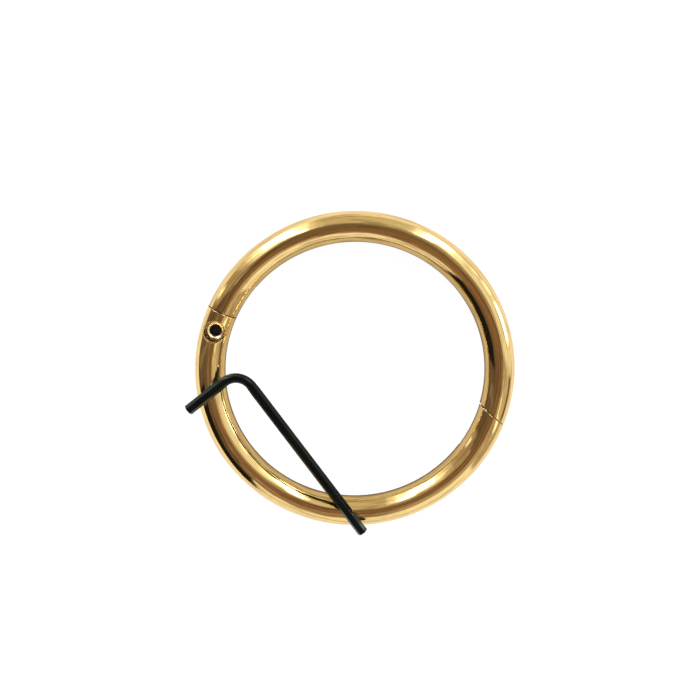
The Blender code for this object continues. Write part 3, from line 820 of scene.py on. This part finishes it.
tongue_outline = slot_outline(LOCK_SEAM, -TAIL_LENGTH, TONGUE_LENGTH)
bore = [(SCREW_RADIUS + 0.5 * MM, tongue_low.z - 0.2 * MM),
        (THREAD_CREST, tongue_low.z + 0.2 * MM)]
groove = tongue_low.z + 0.35 * MM
while groove + THREAD_PITCH < tongue_high.z - 0.2 * MM:
    bore += [(THREAD_CREST, groove), (THREAD_ROOT, groove + THREAD_PITCH * 0.45),
             (THREAD_CREST, groove + THREAD_PITCH * 0.9)]
    groove += THREAD_PITCH
bore += [(THREAD_CREST, tongue_high.z - 0.15 * MM),
         (SCREW_RADIUS + 0.35 * MM, tongue_high.z + 0.1 * MM)]
tongue_cutters = [turned("bore", KEYHOLE_POINT, bore)]
tongue_cutters += [plate_bore(point, PIN_RADIUS + PIN_SPACE) for point in tongue_pins]
tongue_plate = machine("tongue_plate",
                       prism("tongue_plate", tongue_outline, tongue_low.z, tongue_high.z),
                       tongue_cutters, whole_bar(PLATE_SHAVE))
shade_edges(tongue_plate, PLATE_SHARPEST)
tongue_plate.data.materials.append(bare_steel)
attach(tongue_plate, "upper")
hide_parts("lock_tongue")

seam_across = Vector((upper_face.facing.y, -upper_face.facing.x, 0.0))
seam_first = CENTRE + upper_face.point + upper_face.facing * HALF_GAP
seam_span = seam_across * 2.0 * BAR_RADIUS
seam_second = seam_first + seam_span
leaf_tangent = plan_way(HINGE_STATION + 90.0)
leaf_outward = plan_way(HINGE_STATION)
tail_middle = (from_centre(RING_RADIUS, HINGE_SEAM)
               + plan_way(HINGE_SEAM + 90.0) * TAIL_LENGTH)
tail_outward = plan_way(HINGE_SEAM)
leaf_outline = [tail_middle - tail_outward * SLOT_REACH,
                seam_first - seam_span,
                meeting(HINGE_POINT - leaf_outward * EYE_RADIUS, leaf_tangent,
                        seam_first, seam_second)]
leaf_outline += arc_points(HINGE_POINT, EYE_RADIUS, HINGE_STATION - 180.0,
                           HINGE_STATION, 48)
leaf_outline += [meeting(HINGE_POINT + leaf_outward * EYE_RADIUS, leaf_tangent,
                         seam_first, seam_second),
                 seam_second + seam_span,
                 tail_middle + tail_outward * SLOT_REACH]
leaf_cutters = [plate_bore(HINGE_POINT, HINGE_PIN_RADIUS + EYE_SPACE)]
leaf_cutters += [plate_bore(point, PIN_RADIUS + PIN_SPACE) for point in leaf_pins]
leaf_plate = machine("leaf_plate",
                     prism("leaf_plate", leaf_outline, leaf_low.z, leaf_high.z),
                     leaf_cutters, whole_bar(PLATE_SHAVE))
shade_edges(leaf_plate, PLATE_SHARPEST)
leaf_plate.data.materials.append(bare_steel)
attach(leaf_plate, "upper")
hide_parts("hinge_leaf")


# ------------------------------------------------------------------ pins
# Five ground steel pins with rounded ends, pressed up from below: the hinge pin in the
# lower half, and two that hold each plate's tail in the upper half.
def new_tree(name, inputs):
    """A geometry tree with a geometry input and output and named inputs."""
    tree = bpy.data.node_groups.new(name, "GeometryNodeTree")
    tree.interface.new_socket("Geometry", in_out="INPUT",
                              socket_type="NodeSocketGeometry")
    for label, (kind, value) in inputs.items():
        socket = tree.interface.new_socket(label, in_out="INPUT", socket_type=kind)
        if value is not None:
            socket.default_value = value
    tree.interface.new_socket("Geometry", in_out="OUTPUT",
                              socket_type="NodeSocketGeometry")
    source = tree.nodes.new("NodeGroupInput")
    given = {socket.name: Signal(tree, socket) for socket in source.outputs if socket.name}
    return tree, given


def finish_tree(tree, geometry, material):
    """Turn instances into real mesh, give the material and send it out."""
    geometry = wire(tree, "GeometryNodeRealizeInstances", None, {0: geometry})
    geometry = wire(tree, "GeometryNodeSetMaterial", None,
                    {"Geometry": geometry, "Material": material})
    target = tree.nodes.new("NodeGroupOutput")
    tree.links.new(geometry.socket, target.inputs[0])


def grow(name, start, tree, values):
    """Run a geometry tree on starting data and return a piece with a plain mesh."""
    seedling = bpy.data.objects.new(name + "_start", start)
    bpy.context.scene.collection.objects.link(seedling)
    modifier = seedling.modifiers.new(name, "NODES")
    modifier.node_group = tree
    for item in tree.interface.items_tree:
        if item.item_type == "SOCKET" and item.in_out == "INPUT" and item.name in values:
            modifier[item.identifier] = values[item.name]
    bpy.context.view_layer.update()
    evaluated = seedling.evaluated_get(bpy.context.evaluated_depsgraph_get())
    mesh = bpy.data.meshes.new_from_object(evaluated)
    mesh.name = name
    bpy.data.objects.remove(seedling, do_unlink=True)
    return link_piece(name, mesh)


PIN_END_ROUND = 0.15 * MM
HINGE_PIN_END_ROUND = 0.2 * MM

pin_tree, given = new_tree("turned pin", {
    "Pin Radius": ("NodeSocketFloat", PIN_RADIUS),
    "Pin Length": ("NodeSocketFloat", 6.8 * MM),
    "End Round": ("NodeSocketFloat", PIN_END_ROUND),
    "Material": ("NodeSocketMaterial", None),
})
pin_top = wire(pin_tree, "ShaderNodeCombineXYZ", None, {2: given["Pin Length"]})
pin_line = wire(pin_tree, "GeometryNodeCurvePrimitiveLine", None, {"End": pin_top})
pin_line = wire(pin_tree, "GeometryNodeResampleCurve", None,
                {"Curve": pin_line, "Count": 160})
along_pin = wire(pin_tree, "GeometryNodeSplineParameter", None, None, "Length")
to_end = along_pin.maths("MINIMUM", along_pin, given["Pin Length"] - along_pin)
short = (given["End Round"] - to_end) / given["End Round"]
short = short.maths("MAXIMUM", short, 0.0)
fall = (1.0 - short * short).maths("SQRT", 1.0 - short * short)
pin_reach = given["Pin Radius"] - given["End Round"] * (1.0 - fall)
pin_circle = wire(pin_tree, "GeometryNodeCurvePrimitiveCircle", None,
                  {"Resolution": PIN_SIDES, "Radius": 1.0})
pin_body = wire(pin_tree, "GeometryNodeCurveToMesh", None,
                {"Curve": pin_line, "Profile Curve": pin_circle, "Scale": pin_reach,
                 "Fill Caps": True})
pins = wire(pin_tree, "GeometryNodeInstanceOnPoints", None,
            {"Points": given["Geometry"], "Instance": pin_body})
finish_tree(pin_tree, pins, given["Material"])


def pin_feet(points, foot):
    """Loose points where pins stand."""
    mesh = bpy.data.meshes.new("pin_feet")
    mesh.from_pydata([(point.x, point.y, foot) for point in points], [], [])
    return mesh


cross_low, cross_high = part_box("leaf_pin_1")
cross_pins = grow("cross_pins", pin_feet(tongue_pins + leaf_pins, cross_low.z), pin_tree, {
    "Pin Radius": PIN_RADIUS, "Pin Length": cross_high.z - cross_low.z,
    "End Round": PIN_END_ROUND, "Material": bare_steel})
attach(cross_pins, "upper")
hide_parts("leaf_pin_1", "leaf_pin_2", "tongue_pin_1", "tongue_pin_2")

pivot_low, pivot_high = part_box("hinge_pin")
pivot_pin = grow("pivot_pin", pin_feet([HINGE_POINT], pivot_low.z), pin_tree, {
    "Pin Radius": HINGE_PIN_RADIUS, "Pin Length": pivot_high.z - pivot_low.z,
    "End Round": HINGE_PIN_END_ROUND, "Material": bare_steel})
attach(pivot_pin, "lower")
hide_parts("hinge_pin")

# ------------------------------------------------------------------ lock screw
# A short M5 set screw in the tongue, plated like the ring.  It has a real thread, a
# flat end, and a hex socket with a wide countersunk mouth for the 2.5 mm key.
screw_low, screw_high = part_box("lock_screw")
SCREW_CHAMFER = 0.4 * MM
THREAD_DEPTH = 0.36 * MM
SOCKET_FLATS = 2.55 * MM
SOCKET_DEPTH = 1.7 * MM
SOCKET_MOUTH = 2.34 * MM         # the countersink's radius at the screw's top face
SOCKET_MOUTH_FOOT = 1.2 * MM     # and at its foot, inside the hexagon
MOUTH_SLOPE = math.radians(27.0)
MOUTH_RISE = 0.1 * MM            # how far its cutter stands above the screw
KEY_LONG_WAY = -54.1             # degrees from +X; the socket is turned to suit the key

screw_tree, given = new_tree("threaded screw", {
    "Crest Radius": ("NodeSocketFloat", SCREW_RADIUS),
    "Length": ("NodeSocketFloat", 3.0 * MM),
    "Pitch": ("NodeSocketFloat", THREAD_PITCH),
    "Thread Depth": ("NodeSocketFloat", THREAD_DEPTH),
    "Chamfer": ("NodeSocketFloat", SCREW_CHAMFER),
    "Material": ("NodeSocketMaterial", None),
})
screw_top = wire(screw_tree, "ShaderNodeCombineXYZ", None, {2: given["Length"]})
screw_line = wire(screw_tree, "GeometryNodeCurvePrimitiveLine", None, {"End": screw_top})
screw_line = wire(screw_tree, "GeometryNodeResampleCurve", None,
                  {"Curve": screw_line, "Count": 76})
screw_circle = wire(screw_tree, "GeometryNodeCurvePrimitiveCircle", None,
                    {"Resolution": 96, "Radius": given["Crest Radius"]})
screw_body = wire(screw_tree, "GeometryNodeCurveToMesh", None,
                  {"Curve": screw_line, "Profile Curve": screw_circle,
                   "Fill Caps": True})
position = wire(screw_tree, "GeometryNodeInputPosition")
screw_x, screw_y, screw_z = split(position)
angle_turns = screw_y.maths("ARCTAN2", screw_y, screw_x) / (2.0 * math.pi)
turns = screw_z / given["Pitch"] - angle_turns
wave = turns.maths("FRACT", turns)
wave = (wave - 0.5).maths("ABSOLUTE", wave - 0.5) * 2.0
groove_depth = (1.0 - wave.step(0.12, 0.88)) * given["Thread Depth"]
thread_reach = given["Crest Radius"] - groove_depth
end_distance = screw_z.maths("MINIMUM", screw_z, given["Length"] - screw_z)
chamfer_reach = given["Crest Radius"] - given["Chamfer"] + end_distance
screw_reach = thread_reach.maths("MINIMUM", thread_reach, chamfer_reach)
shrink = screw_reach / given["Crest Radius"]
new_place = wire(screw_tree, "ShaderNodeCombineXYZ", None,
                 {0: screw_x * shrink, 1: screw_y * shrink, 2: screw_z})
screw_body = wire(screw_tree, "GeometryNodeSetPosition", None,
                  {"Geometry": screw_body, "Position": new_place})
finish_tree(screw_tree, screw_body, given["Material"])
screw_blank = grow("set_screw", pin_feet([CENTRE], 0.0), screw_tree, {
    "Crest Radius": SCREW_RADIUS, "Length": screw_high.z - screw_low.z,
    "Pitch": THREAD_PITCH, "Thread Depth": THREAD_DEPTH, "Chamfer": SCREW_CHAMFER,
    "Material": gold_plate})
screw_mesh = screw_blank.data
bpy.data.objects.remove(screw_blank, do_unlink=True)
screw_mesh.transform(Matrix.Translation((KEYHOLE_POINT.x, KEYHOLE_POINT.y, screw_low.z)))
socket_corner = SOCKET_FLATS / math.sqrt(3.0)
mouth_drop = (SOCKET_MOUTH - SOCKET_MOUTH_FOOT) * math.tan(MOUTH_SLOPE)
socket_turn = KEY_LONG_WAY + 30.0
socket_hex = arc_points(KEYHOLE_POINT, socket_corner, socket_turn, socket_turn + 300.0, 5)
screw_cutters = [
    prism("socket", socket_hex, screw_high.z - SOCKET_DEPTH, screw_high.z + 1.0 * MM),
    turned("mouth", KEYHOLE_POINT, [
        (SOCKET_MOUTH_FOOT, screw_high.z - mouth_drop),
        (SOCKET_MOUTH + MOUTH_RISE / math.tan(MOUTH_SLOPE), screw_high.z + MOUTH_RISE)],
        sides=96),
]
set_screw = machine("set_screw", screw_mesh, screw_cutters)
shade_edges(set_screw, 32.0)
set_screw.data.materials.clear()
set_screw.data.materials.append(gold_plate)
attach(set_screw, "screw")
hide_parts("lock_screw")

# ------------------------------------------------------------------ black oxide
# The key's blackening is a thin oxide film on steel, wiped with oil: blue-black to
# olive-black, with a soft shine and small grey marks where it has rubbed.
BLUE_BLACK = (0.0016, 0.0021, 0.0030, 1.0)
OLIVE_BLACK = (0.0030, 0.0038, 0.0026, 1.0)
RUBBED_BLACK = (0.014, 0.013, 0.010, 1.0)

oxide_black = new_material("oiled black oxide", BLUE_BLACK)
oxide_place = wire(oxide_black.node_tree, "ShaderNodeTexCoord", None, None, "Object")
oil_film = oxide_place.node("ShaderNodeTexNoise", None,
                            {"Vector": oxide_place, "Scale": 260.0, "Detail": 3.0})
oxide_grain = oxide_place.node("ShaderNodeTexNoise", None,
                               {"Vector": oxide_place, "Scale": 5200.0, "Detail": 2.0})
rub_marks = oxide_place.node("ShaderNodeTexNoise", None,
                             {"Vector": oxide_place, "Scale": 1500.0, "Detail": 4.0,
                              "Roughness": 0.7})
rubbed = rub_marks.step(0.62, 0.78)
oxide_colour = blend_colours(oil_film.step(0.4, 0.65), BLUE_BLACK, OLIVE_BLACK)
oxide_colour = blend_colours(rubbed * 0.6, oxide_colour, RUBBED_BLACK)
oxide_height = oxide_grain * 0.004 + rub_marks * 0.004
oxide_bump = oxide_height.node("ShaderNodeBump", None,
                               {"Strength": 0.7, "Distance": MM,
                                "Height": oxide_height})
finish_material(oxide_black, "ShaderNodeBsdfPrincipled", {
    "Base Color": oxide_colour, "Metallic": 0.0, "IOR": 1.36,
    "Specular Tint": (0.62, 0.95, 1.0, 1.0),
    "Roughness": 0.12 + oxide_grain * 0.1 + oil_film * 0.05 + rubbed * 0.1,
    "Normal": oxide_bump})

# ------------------------------------------------------------------ hex key
# The L-shaped 2.5 mm key, drawn hexagon wire cut to length, bent cold and blackened.
# The bend stretches and softens the corners, and both ends are chamfered.
KEY_FLATS = 2.5 * MM
KEY_CORNER_RADIUS = KEY_FLATS / math.sqrt(3.0)
KEY_LONG_ARM = 56.5 * MM
KEY_SHORT_ARM = 18.8 * MM
KEY_SHORT_WAY = 218.4            # degrees from +X
KEY_OUTER_CORNER = CENTRE + Vector((-30.0 * MM, 3.8 * MM, 0.0))
KEY_OUTER_BEND = 6.4 * MM
KEY_END_CHAMFER = 0.12 * MM
KEY_EDGE_ROUND = 0.16 * MM
KEY_BEND_SOFTENING = 0.85        # 1 would make the middle of the bend quite round
BEND_SHADED_FROM = 88.0          # just short of square to each arm, in degrees
KEY_BEND_STEPS = 36
KEY_ARM_STEPS = 40

key_low, key_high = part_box("hex_key")
key_height = (key_low.z + key_high.z) / 2.0
long_side = KEY_OUTER_CORNER + plan_way(KEY_LONG_WAY - 90.0) * KEY_OUTER_BEND
short_side = KEY_OUTER_CORNER + plan_way(KEY_SHORT_WAY + 90.0) * KEY_OUTER_BEND
inner_middle = meeting(long_side, plan_way(KEY_LONG_WAY),
                       short_side, short_side + plan_way(KEY_SHORT_WAY))
long_end = (KEY_OUTER_CORNER + plan_way(KEY_LONG_WAY) * KEY_LONG_ARM
            + plan_way(KEY_LONG_WAY - 90.0) * KEY_CORNER_RADIUS)
short_end = (KEY_OUTER_CORNER + plan_way(KEY_SHORT_WAY) * KEY_SHORT_ARM
             + plan_way(KEY_SHORT_WAY + 90.0) * KEY_CORNER_RADIUS)
bend = arc_points(inner_middle, KEY_OUTER_BEND - KEY_CORNER_RADIUS, KEY_LONG_WAY + 90.0,
                  KEY_SHORT_WAY - 90.0, KEY_BEND_STEPS)


def arm_points(end, joint):
    """Points along an arm from its end to the bend, closer together at the chamfer."""
    way = (joint - end).normalized()
    points = [end, end + way * KEY_END_CHAMFER]
    first = points[-1]
    points += [first.lerp(joint, step / KEY_ARM_STEPS) for step in range(1, KEY_ARM_STEPS)]
    return points


key_points = arm_points(long_end, bend[0]) + bend
key_points += arm_points(short_end, bend[-1])[::-1]
key_curve = bpy.data.curves.new("key_path", "CURVE")
key_curve.dimensions = "3D"
key_spline = key_curve.splines.new("POLY")
key_spline.points.add(len(key_points) - 1)
for spline_point, point in zip(key_spline.points, key_points):
    spline_point.co = (point.x, point.y, key_height, 1.0)
end_scale = 1.0 - KEY_END_CHAMFER / KEY_CORNER_RADIUS
key_spline.points[0].radius = end_scale
key_spline.points[-1].radius = end_scale

key_tree, given = new_tree("hexagon bar", {
    "Across Flats": ("NodeSocketFloat", KEY_FLATS),
    "Edge Round": ("NodeSocketFloat", KEY_EDGE_ROUND),
    "Bend Start": ("NodeSocketFloat", 50.0 * MM),
    "Bend End": ("NodeSocketFloat", 58.0 * MM),
    "Bend Softening": ("NodeSocketFloat", KEY_BEND_SOFTENING),
    "Material": ("NodeSocketMaterial", None),
})
key_line = wire(key_tree, "GeometryNodeSetCurveNormal", {"mode": "Z_UP"},
                {"Curve": given["Geometry"]})
along_key = wire(key_tree, "GeometryNodeSplineParameter", None, None, "Length")
into_bend = (along_key - given["Bend Start"]) / (2.0 * MM)
out_of_bend = (given["Bend End"] - along_key) / (2.0 * MM)
bent = into_bend.step(-1.0, 1.0) * out_of_bend.step(-1.0, 1.0)
key_line = wire(key_tree, "GeometryNodeStoreNamedAttribute",
                {"data_type": "FLOAT", "domain": "POINT"},
                {"Geometry": key_line, "Name": "bent", "Value": bent})
middle_line = wire(key_tree, "GeometryNodeInputPosition")
key_line = wire(key_tree, "GeometryNodeStoreNamedAttribute",
                {"data_type": "FLOAT_VECTOR", "domain": "POINT"},
                {"Geometry": key_line, "Name": "middle", "Value": middle_line})
hexagon = wire(key_tree, "GeometryNodeCurvePrimitiveCircle", None,
               {"Resolution": 6, "Radius": given["Across Flats"] / math.sqrt(3.0)})
hexagon = wire(key_tree, "GeometryNodeFilletCurve", {"mode": "POLY"},
               {"Curve": hexagon, "Radius": given["Edge Round"], "Count": 4})
end_taper = wire(key_tree, "GeometryNodeInputRadius")
key_bar = wire(key_tree, "GeometryNodeCurveToMesh", None,
               {"Curve": key_line, "Profile Curve": hexagon, "Scale": end_taper,
                "Fill Caps": True})
bent_there = wire(key_tree, "GeometryNodeInputNamedAttribute", {"data_type": "FLOAT"},
                  {"Name": "bent"})
middle_there = wire(key_tree, "GeometryNodeInputNamedAttribute",
                    {"data_type": "FLOAT_VECTOR"}, {"Name": "middle"})
here = wire(key_tree, "GeometryNodeInputPosition")
out = here.node("ShaderNodeVectorMath", {"operation": "SUBTRACT"},
                {0: here, 1: middle_there})
reach_now = out.node("ShaderNodeVectorMath", {"operation": "LENGTH"}, {0: out}, "Value")
round_reach = given["Across Flats"] / 2.0
soft_reach = reach_now + (round_reach - reach_now) * bent_there * given["Bend Softening"]
out = out.node("ShaderNodeVectorMath", {"operation": "SCALE"},
               {0: out, "Scale": soft_reach / reach_now})
moved = out.node("ShaderNodeVectorMath", {"operation": "ADD"}, {0: middle_there, 1: out})
key_bar = wire(key_tree, "GeometryNodeSetPosition", None,
               {"Geometry": key_bar, "Position": moved})
finish_tree(key_tree, key_bar, given["Material"])
long_straight = (long_end - bend[0]).length
bend_length = sum((second - first).length for first, second in zip(bend, bend[1:]))
hex_key_bar = grow("hex_key_bar", key_curve, key_tree, {
    "Across Flats": KEY_FLATS, "Edge Round": KEY_EDGE_ROUND,
    "Bend Start": long_straight, "Bend End": long_straight + bend_length,
    "Bend Softening": KEY_BEND_SOFTENING, "Material": oxide_black})
hex_key_bar.data.shade_smooth()
for face in hex_key_bar.data.polygons:
    out_of_corner = face.center - inner_middle
    turned_by = math.degrees(math.atan2(out_of_corner.y, out_of_corner.x))
    face.use_smooth = (KEY_LONG_WAY + BEND_SHADED_FROM < turned_by
                       < KEY_SHORT_WAY - BEND_SHADED_FROM)
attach(hex_key_bar, "key")
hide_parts("hex_key")
